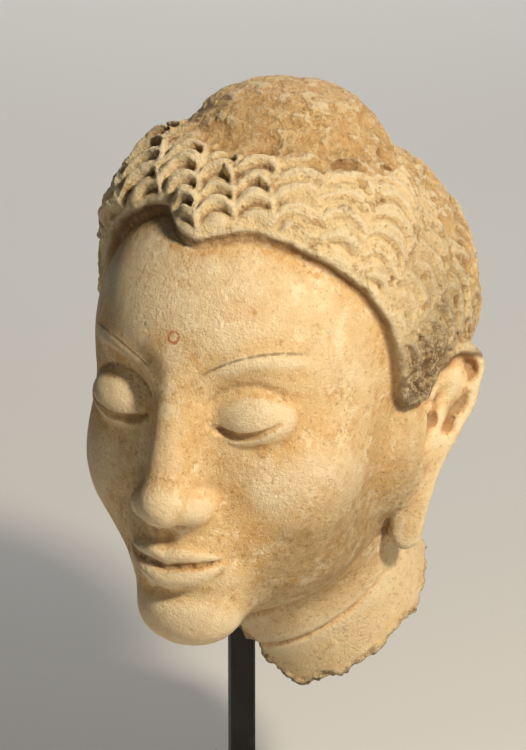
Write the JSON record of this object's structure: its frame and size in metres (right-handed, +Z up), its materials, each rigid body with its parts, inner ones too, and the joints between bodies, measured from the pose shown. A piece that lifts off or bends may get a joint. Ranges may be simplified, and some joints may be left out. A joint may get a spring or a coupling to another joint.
{
  "type": "stone buddha head on a stand",
  "caption": "Carved head of a calm, long-eared figure with arched hair locks and a crown bump, broken at the neck and held up by a square post on a flat foot.",
  "frame": {"origin": "middle of the foot's underside", "axes": "+Z up, -Y towards the face, +X towards the figure's own left"},
  "size_m": [0.1808, 0.2418, 0.3891],
  "materials": {
    "carved_stone": "matt, worn, with traces of paint",
    "post_paint": "satin black",
    "foot_paint": "satin black"
  },
  "bodies": {
    "root": {"head": "carved_stone", "post": "post_paint", "foot": "foot_paint"}
  },
  "joints": []
}
